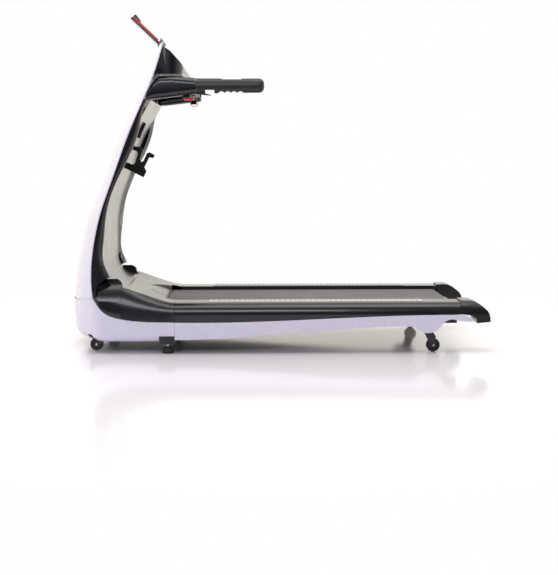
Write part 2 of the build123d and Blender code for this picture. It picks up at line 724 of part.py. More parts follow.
# ---- mast frame and hinge --------------------------------------------------------------------------------
lug_y0, lug_y1 = 272, 284
upright_y0, upright_y1 = 258, 281.5
upright_line = [(-708, 370), (-700, 443), (-670, 584), (-616, 724), (-561, 862), (-521, 945)]
upright_width = 18
with BuildPart() as mast_frame:
    for side in (-1, 1):
        y0, y1 = sorted((side * upright_y0, side * upright_y1))
        with BuildSketch(Plane.XZ.offset(-y0)):
            with BuildLine():
                half = upright_width / 2
                Spline(*[(x + half, z) for x, z in upright_line])
                Line((upright_line[-1][0] + half, upright_line[-1][1]),
                     (upright_line[-1][0] - half, upright_line[-1][1]))
                Spline(*[(x - half, z) for x, z in reversed(upright_line)])
                Line((upright_line[0][0] - half, upright_line[0][1]),
                     (upright_line[0][0] + half, upright_line[0][1]))
            make_face()
        extrude(amount=-(y1 - y0))
        y0, y1 = sorted((side * lug_y0, side * lug_y1))
        with BuildSketch(Plane.XZ.offset(-y0)):
            with BuildLine():
                Polyline((pivot_x - 18, pivot_z), (-696, 325), (-717, 370), (-717, 420), (-699, 420),
                         (-699, 370), (-679, 304), (-657, 256), (pivot_x, pivot_z), (pivot_x - 18, pivot_z))
            make_face()
            with Locations((pivot_x, pivot_z)):
                Circle(18.5)
        extrude(amount=-(y1 - y0))
    cylinder_y(pivot_x, pivot_z, bush_radius, -300, 300, mode=Mode.SUBTRACT)
    for x, z in (upright_line[1], upright_line[4]):
        box_between((x - 9, -upright_y0, z - 18), (x + 5, upright_y0, z + 18))
        box_between((x - 6.5, -upright_y0 - 1, z - 15.5), (x + 2.5, upright_y0 + 1, z + 15.5),
                    mode=Mode.SUBTRACT)
save(mast_frame, "mast_frame")


def hinge_bush():
    with BuildPart() as bush:
        cylinder_y(pivot_x, pivot_z, bush_radius, lug_y0, lug_y1)
        cylinder_y(pivot_x, pivot_z, pin_radius + running_gap, lug_y0 - 1, lug_y1 + 1, mode=Mode.SUBTRACT)
    return bush


def hinge_pin():
    with BuildPart() as pin:
        cylinder_y(pivot_x, pivot_z, pin_radius, lug_y0 - 4, 302)
        chamfer(pin.edges().filter_by(GeomType.CIRCLE), 1)
    return pin


pair(hinge_bush, "hinge_bushes")
pair(hinge_pin, "hinge_pins")

# ---- console ---------------------------------------------------------------------------------------------
console_half_width = 318
console_line = [(-452, 1186), (-405, 1154), (-366, 1112), (-356, 1090), (-364, 1068), (-484, 1066)]
display_centre, display_length, display_width = (-412, 0, 1155), 58, 300
display_plane = Plane(origin=display_centre, x_dir=(0.73, 0, -0.68), z_dir=(0.68, 0, 0.73))


def console_form(inset):
    with BuildPart() as form:
        with BuildSketch(Plane.XZ):
            with BuildLine():
                Polyline(*console_line, console_line[0])
            make_face()
            if inset:
                offset(amount=-inset, kind=Kind.INTERSECTION)
        extrude(amount=console_half_width - inset, both=True)
        with BuildSketch(Plane.XY.offset(1000)):
            with Locations((-556, 0)):
                RectangleRounded(400 - 2 * inset, 2 * (console_half_width - inset), 62 - inset)
        extrude(amount=300, mode=Mode.INTERSECT)
    return form


# x, underside, top, corner radius
arm_stations = [(-497, 973, 996, 11), (-470, 973, 1042, 24), (-448, 975, 1060, 26), (-400, 981, 1061, 26),
                (arm_end_x, 992, 1054, 26)]


def arm_form():
    with BuildPart() as form:
        for x, low, high, radius in arm_stations:
            with BuildSketch(Plane.YZ.offset(x)):
                with Locations((arm_y, (low + high) / 2)):
                    RectangleRounded(2 * arm_half_width, high - low, radius)
        loft(ruled=True)
    return form


with BuildPart() as mast_room:
    for z, middle, edge, rib, half in mast_stations[7:]:
        back = wall + seam_gap
        with BuildSketch(Plane.XY.offset(z)):
            with BuildLine():
                ThreePointArc((edge + back, -half), (middle + back, 0), (edge + back, half))
                Polyline((edge + back, half), (-900, half), (-900, -half), (edge + back, -half))
            make_face()
    loft()

with BuildPart() as console_housing:
    add(console_form(0).part)
    add(console_form(wall).part, mode=Mode.SUBTRACT)
    add(mast_room.part, mode=Mode.SUBTRACT)
    with Locations(display_plane):
        Box(display_length + 1, display_width + 1, 10, mode=Mode.SUBTRACT)
save(console_housing, "console_housing")

with BuildPart() as display_lens:
    with Locations(display_plane):
        Box(display_length, display_width, 3)
save(display_lens, "display_lens")


def arm():
    with BuildPart() as body:
        add(arm_form().part)
        with BuildPart(mode=Mode.PRIVATE) as corner:
            pin_x = arm_end_x - grip_pin_back
            box_between((pin_x, arm_y - 60, 900), (arm_end_x + 5, arm_y, 1100))
            with Locations((pin_x, arm_y, 1000)):
                Cylinder(grip_pin_back - 0.6, 300, mode=Mode.SUBTRACT)
        add(corner.part, mode=Mode.SUBTRACT)
        with Locations((arm_end_x - grip_pin_back, arm_y, 1020)):
            Cylinder(5, 200, mode=Mode.SUBTRACT)
        box_between((arm_end_x - grip_pin_back - 18, arm_y - 30, 1012),
                    (arm_end_x + 5, arm_y + 18.2, 1036), mode=Mode.SUBTRACT)
        box_between((key_x - 14, -key_y - 11, key_top + body_gap), (key_x + 14, -key_y + 11, key_top + 14))
    return body


pair(arm, "arms")


def grip_pin():
    with BuildPart() as pin:
        with Locations((arm_end_x - grip_pin_back, arm_y, 1023)):
            Cylinder(5, 58)
    return pin


pair(grip_pin, "grip_pins")


# ---- folding grips: drawn straight out behind the arms --------------------------------------------
grip_z = 1024
grip_x0 = arm_end_x + 1.2
grip_x1 = arm_end_x + grip_length


def grip_core():
    """Hinge tongue in the arm's slot and the tube inside the grip."""
    pin_x = arm_end_x - grip_pin_back
    with BuildPart() as core:
        with Locations((pin_x, arm_y, grip_z)):
            Cylinder(13, 23)
        box_between((pin_x, arm_y - 13, grip_z - 11.5), (grip_x0 + 20, arm_y + 13, grip_z + 11.5))
        box_between((grip_x0 + 15, arm_y - 8, grip_z - 8), (grip_x1 - 40, arm_y + 8, grip_z + 8))
        with Locations((pin_x, arm_y, grip_z)):
            Cylinder(5 + running_gap, 40, mode=Mode.SUBTRACT)
    return core


def grip_shell():
    """Oval grip with a notch for the trigger and shallow finger waves under it."""
    with BuildPart() as shell:
        with BuildSketch(Plane.YZ.offset(grip_x0)):
            with Locations((arm_y, grip_z - 1)):
                Ellipse(25, 29)
        with BuildSketch(Plane.YZ.offset(grip_x0 + 90)):
            with Locations((arm_y, grip_z)):
                Ellipse(23, 28)
        with BuildSketch(Plane.YZ.offset(grip_x1 - 30)):
            with Locations((arm_y, grip_z + 1)):
                Ellipse(24, 27)
        loft()
        with BuildSketch(Plane.YZ.offset(grip_x1 - 30)):
            with Locations((arm_y, grip_z + 1)):
                Ellipse(24, 27)
        extrude(amount=30)
        fillet(shell.faces().sort_by(Axis.X)[-1].edges(), 20)
        box_between((grip_x0 + 37, arm_y - 40, grip_z - 60), (grip_x0 + 72, arm_y + 40, grip_z - 15),
                    mode=Mode.SUBTRACT)
        box_between((grip_x0 - 1, arm_y - 5, grip_z - 60), (grip_x0 + 38, arm_y + 5, grip_z - 21),
                    mode=Mode.SUBTRACT)
        for n in range(4):
            with Locations((grip_x0 + 99 + 24 * n, arm_y, grip_z - 33)):
                Cylinder(13, 80, rotation=(90, 0, 0), mode=Mode.SUBTRACT)
        box_between((grip_x0 - 1, arm_y - 13.2, grip_z - 11.7), (grip_x0 + 20.2, arm_y + 13.2, grip_z + 11.7),
                    mode=Mode.SUBTRACT)
        box_between((grip_x0 + 14, arm_y - 8, grip_z - 8), (grip_x1 - 40, arm_y + 8, grip_z + 8),
                    mode=Mode.SUBTRACT)
        box_between((grip_x0 + 100, arm_y - 11, grip_z + 21), (grip_x0 + 176, arm_y + 11, grip_z + 40),
                    mode=Mode.SUBTRACT)
    return shell


def pulse_plate():
    with BuildPart() as plate:
        box_between((grip_x0 + 100.5, arm_y - 10.5, grip_z + 21.1),
                    (grip_x0 + 175.5, arm_y + 10.5, grip_z + 26))
        fillet(plate.edges().filter_by(Axis.X).group_by(Axis.Z)[-1], 4)
    return plate


def trigger_lever():
    """Lever hinged at the grip's root, with its finger end in the notch."""
    z = grip_z - 25
    with BuildPart() as lever:
        with BuildSketch(Plane.XZ.offset(-(arm_y - 4))):
            with BuildLine():
                Polyline((grip_x0 + 3, z - 1), (grip_x0 + 10, z + 3), (grip_x0 + 36, z - 3),
                         (grip_x0 + 60, z - 10), (grip_x0 + 60, z - 12), (grip_x0 + 34, z - 10),
                         (grip_x0 + 3, z - 6), (grip_x0 + 3, z - 1))
            make_face()
        extrude(amount=-8)
    return lever


def turned(part, side):
    """The +Y grip stays stowed inwards; its mirror image stands out behind its arm."""
    pin = (arm_end_x - grip_pin_back, arm_y, 0)
    with BuildPart() as piece:
        if side > 0:
            add(part.rotate(Axis(pin, (0, 0, 1)), -90))
        else:
            add(mirror(part, about=Plane.XZ))
    return piece


def grip():
    with BuildPart() as both:
        add(grip_shell().part)
        add(grip_core().part)
    return both


for maker, label in ((grip, "grip"), (pulse_plate, "pulse_plate"), (trigger_lever, "trigger")):
    made = maker().part
    save(turned(made, 1), f"{label}_right")
    save(turned(made, -1), f"{label}_left")


# ---- bottle and accessory bracket, remote clip ------------------------------------------------------------
bracket_line = [(-618, 712), (-538, 672), (-526, 696), (-534, 713), (-514, 753), (-498, 750), (-491, 762),
                (-512, 774), (-523, 770), (-537, 740), (-545, 734), (-552, 743), (-540, 786), (-548, 796),
                (-590, 798)]
with BuildPart() as behind_panel:
    with BuildSketch(Plane.XZ):
        with BuildLine():
            Spline(*panel_line)
            Polyline(panel_line[-1], (-900, panel_line[-1][1]), (-900, panel_line[0][1]), panel_line[0])
        make_face()
    extrude(amount=panel_half_width, both=True)

with BuildPart() as accessory_bracket:
    with BuildSketch(Plane.XZ):
        with BuildLine():
            Polyline(*bracket_line, bracket_line[0])
        make_face()
        with Locations(Location((-579, 753), 72)):
            SlotOverall(58, 31, mode=Mode.SUBTRACT)
    extrude(amount=3, both=True)
    add(behind_panel.part, mode=Mode.SUBTRACT)
save(accessory_bracket, "accessory_bracket")

with BuildPart() as remote_clip:
    with Locations(Plane(origin=(-541, -60, 862), x_dir=(0.39, 0, 0.92), z_dir=(0.92, 0, -0.39))):
        Box(66, 24, 18)
    fillet(remote_clip.edges(), 2.5)
    add(behind_panel.part, mode=Mode.SUBTRACT)
save(remote_clip, "remote_clip")


# ---- tablet flap -----------------------------------------------------------------------------------------
lean = math.radians(flap_lean)
flap_plane = Plane(origin=(flap_x, 0, flap_z), x_dir=(math.cos(lean), 0, math.sin(lean)),
                   z_dir=(math.sin(lean), 0, -math.cos(lean)))


def flap_box(u0, u1, v, w0, w1, mode=Mode.ADD):
    """A block on the flap: u out from the hinge, v half width, w above the back of the plate."""
    with Locations(flap_plane):
        with Locations(((u0 + u1) / 2, 0, (w0 + w1) / 2)):
            Box(u1 - u0, 2 * v, w1 - w0, mode=mode)


flap_start = 6
with BuildPart() as flap_plate:
    flap_box(flap_start, flap_length, flap_half_width, -2, 1.5)
    fillet(flap_plate.edges().filter_by(lambda e: abs(e.length - 3.5) < 0.01), 10)
    flap_box(3, flap_start, 92, -2, 1.5)
    flap_box(0, flap_start - 1, 69.6, -6, 6, mode=Mode.SUBTRACT)
    cylinder_y(flap_x, flap_z, 5, -92, -70)
    cylinder_y(flap_x, flap_z, 5, 70, 92)
    cylinder_y(flap_x, flap_z, 2.5 + running_gap, -100, 100, mode=Mode.SUBTRACT)
save(flap_plate, "flap_plate")

with BuildPart() as flap_tray:
    flap_box(flap_start, flap_length, flap_half_width, 1.6, 8)
    flap_box(flap_length - 3, flap_length, flap_half_width - 20, 8, 26)
    flap_box(flap_length - 10, flap_length - 3, flap_half_width - 20, 23, 26)
    flap_box(flap_start, flap_start + 3, flap_half_width - 10, 8, 26)
    flap_box(flap_start + 3, flap_start + 9, flap_half_width - 10, 23, 26)
save(flap_tray, "flap_tray")

with BuildPart() as flap_pad:
    for side in (-1, 1):
        with Locations(flap_plane):
            with Locations(((flap_start + flap_length) / 2 + 2, side * 100, 12.2)):
                Box(flap_length - flap_start - 24, 14, 8)
save(flap_pad, "flap_pad")

with BuildPart() as flap_hinge:
    for side in (-1, 1):
        for y in (60, 94.5):
            y0, y1 = sorted((side * y, side * (y + 8)))
            cylinder_y(flap_x, flap_z, 5, y0, y1)
            box_between((flap_x + 3.4, y0, flap_z - 18), (flap_x + 5, y1, flap_z))
    cylinder_y(flap_x, flap_z, 2.5, -104, 104)
save(flap_hinge, "flap_hinge")


# ---- wheels, feet and their brackets -----------------------------------------------------------------
def wheel(x, z, radius, y0, y1):
    with BuildPart() as disc:
        cylinder_y(x, z, radius, y0, y1)
        fillet(disc.edges().filter_by(GeomType.CIRCLE), 4)
        for side_y in (y0, y1):
            cylinder_y(x, z, radius - 8, side_y - 3, side_y + 3, mode=Mode.SUBTRACT)
        cylinder_y(x, z, 9, y0, y1)
        cylinder_y(x, z, axle_radius + running_gap, y0 - 1, y1 + 1, mode=Mode.SUBTRACT)
    return disc


pair(lambda: wheel(rear_wheel_x, wheel_radius, wheel_radius, wheel_y0, wheel_y1), "rear_wheels")
pair(lambda: wheel(transport_x, transport_z, transport_radius, transport_y0, transport_y1),
     "transport_wheels")


def wheel_axles():
    with BuildPart() as pins:
        cylinder_y(rear_wheel_x, wheel_radius, axle_radius, wheel_y0 - 5, wheel_y1 + 5)
        cylinder_y(transport_x, transport_z, axle_radius, transport_y0 - 5, transport_y1 + 5)
    return pins


pair(wheel_axles, "wheel_axles")


def wheel_bracket(x, z, top_points, y0, y1):
    """Two cheeks beside the wheel, joined above it."""
    with BuildPart() as bracket:
        for a, b in ((y0 - 4.5, y0 - 1), (y1 + 1, y1 + 4.5)):
            with BuildSketch(Plane.XZ.offset(-a)):
                with BuildLine():
                    Polyline(*top_points, top_points[0])
                make_face()
                with Locations((x, z)):
                    Circle(10)
            extrude(amount=-(b - a))
            cylinder_y(x, z, axle_radius, a - 1, b + 1, mode=Mode.SUBTRACT)
        left, right = top_points[0], top_points[1]
        box_between((left[0], y0 - 4.5, left[1] - 6), (right[0], y1 + 4.5, left[1]))
    return bracket


def wheel_brackets():
    rear_points = [(572, rear_bar_z0), (604, rear_bar_z0), (617, 62),
                   (rear_wheel_x + 10, wheel_radius), (rear_wheel_x - 10, wheel_radius)]
    front_points = [(-660, tube_bottom), (-630, tube_bottom), (-650, 60), (transport_x + 10, transport_z - 4),
                    (transport_x - 6, transport_z + 9)]
    with BuildPart() as brackets:
        add(wheel_bracket(rear_wheel_x, wheel_radius, rear_points, wheel_y0, wheel_y1).part)
        add(wheel_bracket(transport_x, transport_z, front_points, transport_y0, transport_y1).part)
    return brackets


pair(wheel_brackets, "wheel_brackets")


def foot_bracket():
    with BuildPart() as bracket:
        box_between((foot_x - 31, foot_y - 25, 36), (foot_x + 31, foot_y + 15, 68))
        fillet(bracket.edges().filter_by(Axis.Y), 5)
        box_between((foot_x - 16, foot_y - 25, 68), (foot_x + 16, foot_y + 8, foot_bar_z0))
        with Locations((foot_x, stud_y, 40)):
            Cylinder(stud_radius, 100, mode=Mode.SUBTRACT)
    return bracket


def levelling_foot():
    with BuildPart() as foot:
        with Locations((foot_x, stud_y, 9)):
            Cylinder(21.5, 18)
        fillet(foot.edges().filter_by(GeomType.CIRCLE), 3)
        with Locations((foot_x, stud_y, 22)):
            Cone(17, 11, 8)
        with Locations((foot_x, stud_y, 40)):
            Cylinder(stud_radius + running_gap, 60, mode=Mode.SUBTRACT)
    return foot


def foot_stud():
    with BuildPart() as stud:
        with Locations((foot_x, stud_y, 43)):
            Cylinder(stud_radius, 62)
        with BuildSketch(Plane.XY.offset(29)):
            with Locations((foot_x, stud_y)):
                RegularPolygon(9, 6)
        extrude(amount=7)
    return stud


pair(foot_bracket, "foot_brackets")
both_sides(levelling_foot, "levelling_foot")
pair(foot_stud, "foot_studs")


# ---- power inlet and switch in the nose -----------------------------------------------------------------
inlet_y0, inlet_y1, inlet_z0, inlet_z1 = 93, 167, 85, 117
inlet_face = -803
with BuildPart() as power_inlet:
    box_between((inlet_face, inlet_y0, inlet_z0), (inlet_face + 24, inlet_y1, inlet_z1))
    box_between((inlet_face - 1, inlet_y0 + 5, inlet_z0 + 5), (inlet_face + 18, inlet_y0 + 35, inlet_z1 - 5),
                mode=Mode.SUBTRACT)
    box_between((inlet_face - 1, inlet_y1 - 27, inlet_z0 + 5), (inlet_face + 14, inlet_y1 - 5, inlet_z1 - 5),
                mode=Mode.SUBTRACT)
    for y in (inlet_y0 + 12, inlet_y0 + 20, inlet_y0 + 28):
        box_between((inlet_face + 4, y - 1, 98), (inlet_face + 19, y + 1, 104))
save(power_inlet, "power_inlet")

rocker_x, rocker_z = inlet_face + 6, (inlet_z0 + inlet_z1) / 2
with BuildPart() as power_switch:
    box_between((rocker_x - 4, inlet_y1 - 26, rocker_z - 9), (rocker_x + 3, inlet_y1 - 6, rocker_z + 9))
save(power_switch, "power_switch")

# ---- safety key and its lanyard ---------------------------------------------------------------------------
with BuildPart() as safety_key:
    box_between((key_x - 10, key_y - 9, key_top - 7.6), (key_x + 28, key_y + 9, key_top))
    fillet(safety_key.edges().filter_by(Axis.Z), 4)
save(safety_key, "safety_key")

lanyard_diameter = 2.5
lanyard_route = [(-330, 971), (-330, 958), (-322, 946), (-308, 946), (-301, 957), (-301, 968)]
route = [Vector(x, key_y, z) for x, z in lanyard_route]
lanyard_radii = []
for before, point, after in zip(route, route[1:], route[2:]):
    turn = math.radians((point - before).get_angle(after - point))
    shorter = min((point - before).length, (after - point).length)
    lanyard_radii.append(0.45 * shorter / math.tan(turn / 2))
print("lanyard radii", [round(r, 1) for r in lanyard_radii])
with BuildPart() as safety_lanyard:
    with BuildLine() as lanyard_path:
        FilletPolyline(*route, radius=lanyard_radii)
    with BuildSketch(Plane(origin=route[0], z_dir=(0, 0, -1))):
        Circle(lanyard_diameter / 2)
    sweep()
lanyard_length = sum(edge.length for edge in lanyard_path.edges())
print("lanyard length", round(lanyard_length, 1), "volume", round(safety_lanyard.part.volume, 1),
      "section by length", round(math.pi * lanyard_diameter ** 2 / 4 * lanyard_length, 1))
save(safety_lanyard, "safety_lanyard")

with BuildPart() as lanyard_clip:
    box_between((-306, key_y - 3, 968), (-292, key_y + 3, 980))
    fillet(lanyard_clip.edges().filter_by(Axis.Y), 2.5)
    cylinder_y(-296, 974, 2.2, key_y - 4, key_y + 4, mode=Mode.SUBTRACT)
save(lanyard_clip, "lanyard_clip")
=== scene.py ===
import json
import math

import bmesh
import bpy
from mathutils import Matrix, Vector


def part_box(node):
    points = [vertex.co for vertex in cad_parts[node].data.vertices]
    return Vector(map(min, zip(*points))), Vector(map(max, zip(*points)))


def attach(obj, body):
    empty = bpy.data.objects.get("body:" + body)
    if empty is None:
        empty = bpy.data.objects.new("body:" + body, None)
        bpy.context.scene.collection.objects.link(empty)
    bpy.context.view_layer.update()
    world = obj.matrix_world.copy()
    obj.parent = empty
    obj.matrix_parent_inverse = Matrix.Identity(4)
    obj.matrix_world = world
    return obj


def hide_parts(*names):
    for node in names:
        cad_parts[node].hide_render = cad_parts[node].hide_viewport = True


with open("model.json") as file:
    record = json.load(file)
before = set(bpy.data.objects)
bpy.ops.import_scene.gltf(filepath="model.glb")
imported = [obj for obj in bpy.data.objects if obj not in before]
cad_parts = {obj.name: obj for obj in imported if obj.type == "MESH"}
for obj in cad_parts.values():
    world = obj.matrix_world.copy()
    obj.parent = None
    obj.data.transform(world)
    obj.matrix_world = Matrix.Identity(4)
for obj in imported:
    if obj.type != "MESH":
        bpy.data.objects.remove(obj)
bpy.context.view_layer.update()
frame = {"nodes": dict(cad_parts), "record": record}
scene = bpy.context.scene
nodeBody = {n: b for b, ns in frame["record"]["behaviour"]["bodies"].items() for n in ns}
slotOf = {p["node"]: p["material_slot"] for p in frame["record"]["subparts"]}

# camera at eye height, looking slightly down along the deck's side
cameraSet = {"place": (-0.1192, -4.745, 0.7627), "tilt": 83.438, "turn": -1.63, "lens": 72.11}
cameraData = bpy.data.cameras.new("studioCamera")
cameraData.lens = cameraSet["lens"]
cameraData.sensor_width = 36
cameraData.clip_end = 60
camera = bpy.data.objects.new("studioCamera", cameraData)
camera.location = cameraSet["place"]
camera.rotation_euler = (math.radians(cameraSet["tilt"]), 0, math.radians(cameraSet["turn"]))
scene.collection.objects.link(camera)
scene.camera = camera
scene.view_settings.view_transform = "Standard"


# helpers that make node trees and wire nodes into them
def newTree(name, kind, inputs, outputs):
    tree = bpy.data.node_groups.new(name, kind)
    for label, socketType, value in inputs:
        socket = tree.interface.new_socket(label, in_out="INPUT", socket_type=socketType)
        if value is not None:
            socket.default_value = value
    for label, socketType in outputs:
        tree.interface.new_socket(label, in_out="OUTPUT", socket_type=socketType)
    return tree, tree.nodes.new("NodeGroupInput"), tree.nodes.new("NodeGroupOutput")


def place(tree, kind, wires=None, values=None, **attributes):
    node = tree.nodes.new(kind)
    for key, value in attributes.items():
        setattr(node, key, value)
    for key, value in (values or {}).items():
        node.inputs[key].default_value = value
    for key, socket in (wires or {}).items():
        tree.links.new(socket, node.inputs[key])
    return node


# the part of a noise's output that is stretched over a finish's roughness range
noiseSpan = {"From Min": 0.3, "From Max": 0.7}


# fine moulded surface: slow tint change, gloss change and a pebbled height
def buildSurfaceGroup():
    floats = [("Grain Scale", "NodeSocketFloat", 900.0), ("Cloud Scale", "NodeSocketFloat", 9.0),
              ("Tint Change", "NodeSocketFloat", 0.06), ("Rough Low", "NodeSocketFloat", 0.1),
              ("Rough High", "NodeSocketFloat", 0.2)]
    tree, given, out = newTree("mouldedSurface", "ShaderNodeTree",
                               [("Colour", "NodeSocketColor", (0.5, 0.5, 0.5, 1))] + floats,
                               [("Colour", "NodeSocketColor"), ("Rough", "NodeSocketFloat"),
                                ("Height", "NodeSocketFloat")])
    where = place(tree, "ShaderNodeTexCoord").outputs["Object"]
    cloud = place(tree, "ShaderNodeTexNoise", {"Vector": where, "Scale": given.outputs["Cloud Scale"]},
                  {"Detail": 4.0, "Roughness": 0.55})
    grain = place(tree, "ShaderNodeTexNoise", {"Vector": where, "Scale": given.outputs["Grain Scale"]},
                  {"Detail": 3.0, "Roughness": 0.6})
    centred = place(tree, "ShaderNodeMath", {0: cloud.outputs["Fac"]}, {1: 0.5}, operation="SUBTRACT")
    swing = place(tree, "ShaderNodeMath", {0: centred.outputs[0], 1: given.outputs["Tint Change"]},
                  operation="MULTIPLY")
    bright = place(tree, "ShaderNodeMath", {0: swing.outputs[0]}, {1: 1.0}, operation="ADD")
    tint = place(tree, "ShaderNodeHueSaturation",
                 {"Color": given.outputs["Colour"], "Value": bright.outputs[0]})
    rough = place(tree, "ShaderNodeMapRange",
                  {"Value": cloud.outputs["Fac"], "To Min": given.outputs["Rough Low"],
                   "To Max": given.outputs["Rough High"]}, noiseSpan)
    tree.links.new(tint.outputs["Color"], out.inputs["Colour"])
    tree.links.new(rough.outputs["Result"], out.inputs["Rough"])
    tree.links.new(grain.outputs["Fac"], out.inputs["Height"])
    return tree


# crossed diamond emboss for the running belt
def buildDiamondGroup():
    tree, given, out = newTree("diamondEmboss", "ShaderNodeTree",
                               [("Pitch", "NodeSocketFloat", 0.004), ("Depth Share", "NodeSocketFloat", 1.0)],
                               [("Height", "NodeSocketFloat")])
    where = place(tree, "ShaderNodeTexCoord")
    split = place(tree, "ShaderNodeSeparateXYZ", {"Vector": where.outputs["Object"]})
    pitch = given.outputs["Pitch"]
    waves = []
    for sign in ("ADD", "SUBTRACT"):
        line = place(tree, "ShaderNodeMath", {0: split.outputs["X"], 1: split.outputs["Y"]}, operation=sign)
        wave = place(tree, "ShaderNodeMath", {0: line.outputs[0], 1: pitch}, operation="PINGPONG")
        share = place(tree, "ShaderNodeMath", {0: wave.outputs[0], 1: pitch}, operation="DIVIDE")
        waves.append(share.outputs[0])
    low = place(tree, "ShaderNodeMath", {0: waves[0], 1: waves[1]}, operation="MINIMUM")
    scaled = place(tree, "ShaderNodeMath", {0: low.outputs[0], 1: given.outputs["Depth Share"]},
                   operation="MULTIPLY")
    tree.links.new(scaled.outputs[0], out.inputs["Height"])
    return tree


# brushed or turned metal: fine lines along one direction
def buildBrushedGroup():
    tree, given, out = newTree("brushedLines", "ShaderNodeTree",
                               [("Along", "NodeSocketVector", (1, 1, 1)), ("Scale", "NodeSocketFloat", 300.0),
                                ("Rough Low", "NodeSocketFloat", 0.2),
                                ("Rough High", "NodeSocketFloat", 0.35)],
                               [("Rough", "NodeSocketFloat"), ("Height", "NodeSocketFloat")])
    where = place(tree, "ShaderNodeTexCoord")
    stretched = place(tree, "ShaderNodeVectorMath", {0: where.outputs["Object"], 1: given.outputs["Along"]},
                      operation="MULTIPLY")
    lines = place(tree, "ShaderNodeTexNoise",
                  {"Vector": stretched.outputs[0], "Scale": given.outputs["Scale"]},
                  {"Detail": 5.0, "Roughness": 0.7})
    rough = place(tree, "ShaderNodeMapRange",
                  {"Value": lines.outputs["Fac"], "To Min": given.outputs["Rough Low"],
                   "To Max": given.outputs["Rough High"]}, noiseSpan)
    tree.links.new(rough.outputs["Result"], out.inputs["Rough"])
    tree.links.new(lines.outputs["Fac"], out.inputs["Height"])
    return tree


surfaceGroup, diamondGroup, brushedGroup = buildSurfaceGroup(), buildDiamondGroup(), buildBrushedGroup()

# colours are linear; grain is the fineness of the texture, tint how far the colour drifts
coatRoughness = 0.03
bumpDepth = {"moulded": 0.0004, "brushed": 0.0003}
finishes = {
    # the shell is white plastic; its lavender cast is painted cool front light
    "shellWhite": {"colour": (0.69, 0.67, 0.80), "grain": 420, "tint": 0.02,
                   "rough": (0.22, 0.30), "bump": 0.02, "coat": 0.2},
    "glossBlack": {"colour": (0.0085, 0.008, 0.0105), "grain": 260, "tint": 0.2,
                   "rough": (0.20, 0.27), "bump": 0.02, "coat": 0.15},
    "hoodBlack": {"colour": (0.010, 0.0095, 0.012), "grain": 300, "tint": 0.2,
                  "rough": (0.22, 0.29), "bump": 0.02, "coat": 0.15},
    "greyPlastic": {"colour": (0.024, 0.023, 0.027), "grain": 1600, "tint": 0.25,
                    "rough": (0.38, 0.52), "bump": 0.25, "coat": 0.0},
    "railInsert": {"colour": (0.56, 0.54, 0.53), "grain": 1500, "tint": 0.05,
                   "rough": (0.40, 0.55), "bump": 0.25, "coat": 0.0},
    "railRib": {"colour": (0.42, 0.40, 0.40), "grain": 1500, "tint": 0.05,
                "rough": (0.45, 0.6), "bump": 0.25, "coat": 0.0},
    "gripBlack": {"colour": (0.018, 0.017, 0.020), "grain": 2200, "tint": 0.2,
                  "rough": (0.36, 0.48), "bump": 0.3, "coat": 0.0},
    "paintedSteel": {"colour": (0.016, 0.016, 0.018), "grain": 1100, "tint": 0.2,
                     "rough": (0.28, 0.42), "bump": 0.15, "coat": 0.2},
    "rubber": {"colour": (0.017, 0.017, 0.018), "grain": 2600, "tint": 0.3,
               "rough": (0.55, 0.75), "bump": 0.3, "coat": 0.0},
    "redRubber": {"colour": (0.76, 0.045, 0.028), "grain": 1500, "tint": 0.12,
                  "rough": (0.4, 0.55), "bump": 0.2, "coat": 0.0},
    "redPlastic": {"colour": (0.72, 0.035, 0.025), "grain": 900, "tint": 0.08,
                   "rough": (0.15, 0.24), "bump": 0.05, "coat": 0.5},
    "redCord": {"colour": (0.70, 0.04, 0.03), "grain": 1800, "tint": 0.3,
                "rough": (0.6, 0.8), "bump": 0.5, "coat": 0.0},
    "deckBoard": {"colour": (0.10, 0.075, 0.055), "grain": 700, "tint": 0.5,
                  "rough": (0.45, 0.6), "bump": 0.2, "coat": 0.0},
    "display": {"colour": (0.004, 0.004, 0.006), "grain": 60, "tint": 0.1,
                "rough": (0.02, 0.04), "bump": 0.003, "coat": 1.0},
}


def makeFinish(name):
    finish = finishes[name]
    material = bpy.data.materials.new(name)
    material.use_nodes = True
    tree = material.node_tree
    shader = tree.nodes["Principled BSDF"]
    shader.inputs["Coat Weight"].default_value = finish["coat"]
    shader.inputs["Coat Roughness"].default_value = coatRoughness
    look = place(tree, "ShaderNodeGroup", node_tree=surfaceGroup)
    look.inputs["Colour"].default_value = (*finish["colour"], 1)
    look.inputs["Grain Scale"].default_value = finish["grain"]
    look.inputs["Tint Change"].default_value = finish["tint"]
    look.inputs["Rough Low"].default_value, look.inputs["Rough High"].default_value = finish["rough"]
    tree.links.new(look.outputs["Colour"], shader.inputs["Base Color"])
    tree.links.new(look.outputs["Rough"], shader.inputs["Roughness"])
    bump = place(tree, "ShaderNodeBump", {"Height": look.outputs["Height"]},
                 {"Strength": finish["bump"], "Distance": bumpDepth["moulded"]})
    tree.links.new(bump.outputs["Normal"], shader.inputs["Normal"])
    return material


# belt colour: black rubber lifted to dark grey, a painted sheen for its grazing gloss
beltSet = {"colour": (0.115, 0.112, 0.118), "pitch": 0.0045, "bump": 0.5}


def makeBelt():
    material = makeFinish("rubber")
    material.name = "runningBelt"
    tree = material.node_tree
    look = next(n for n in tree.nodes if n.type == "GROUP")
    # the dark grey set here is painted sheen on a black belt
    look.inputs["Colour"].default_value = (*beltSet["colour"], 1)
    emboss = place(tree, "ShaderNodeGroup", node_tree=diamondGroup)
    emboss.inputs["Pitch"].default_value = beltSet["pitch"]
    mixed = place(tree, "ShaderNodeMath", {0: emboss.outputs["Height"], 1: look.outputs["Height"]},
                  operation="ADD")
    bump = next(n for n in tree.nodes if n.type == "BUMP")
    bump.inputs["Strength"].default_value = beltSet["bump"]
    tree.links.new(mixed.outputs[0], bump.inputs["Height"])
    return material


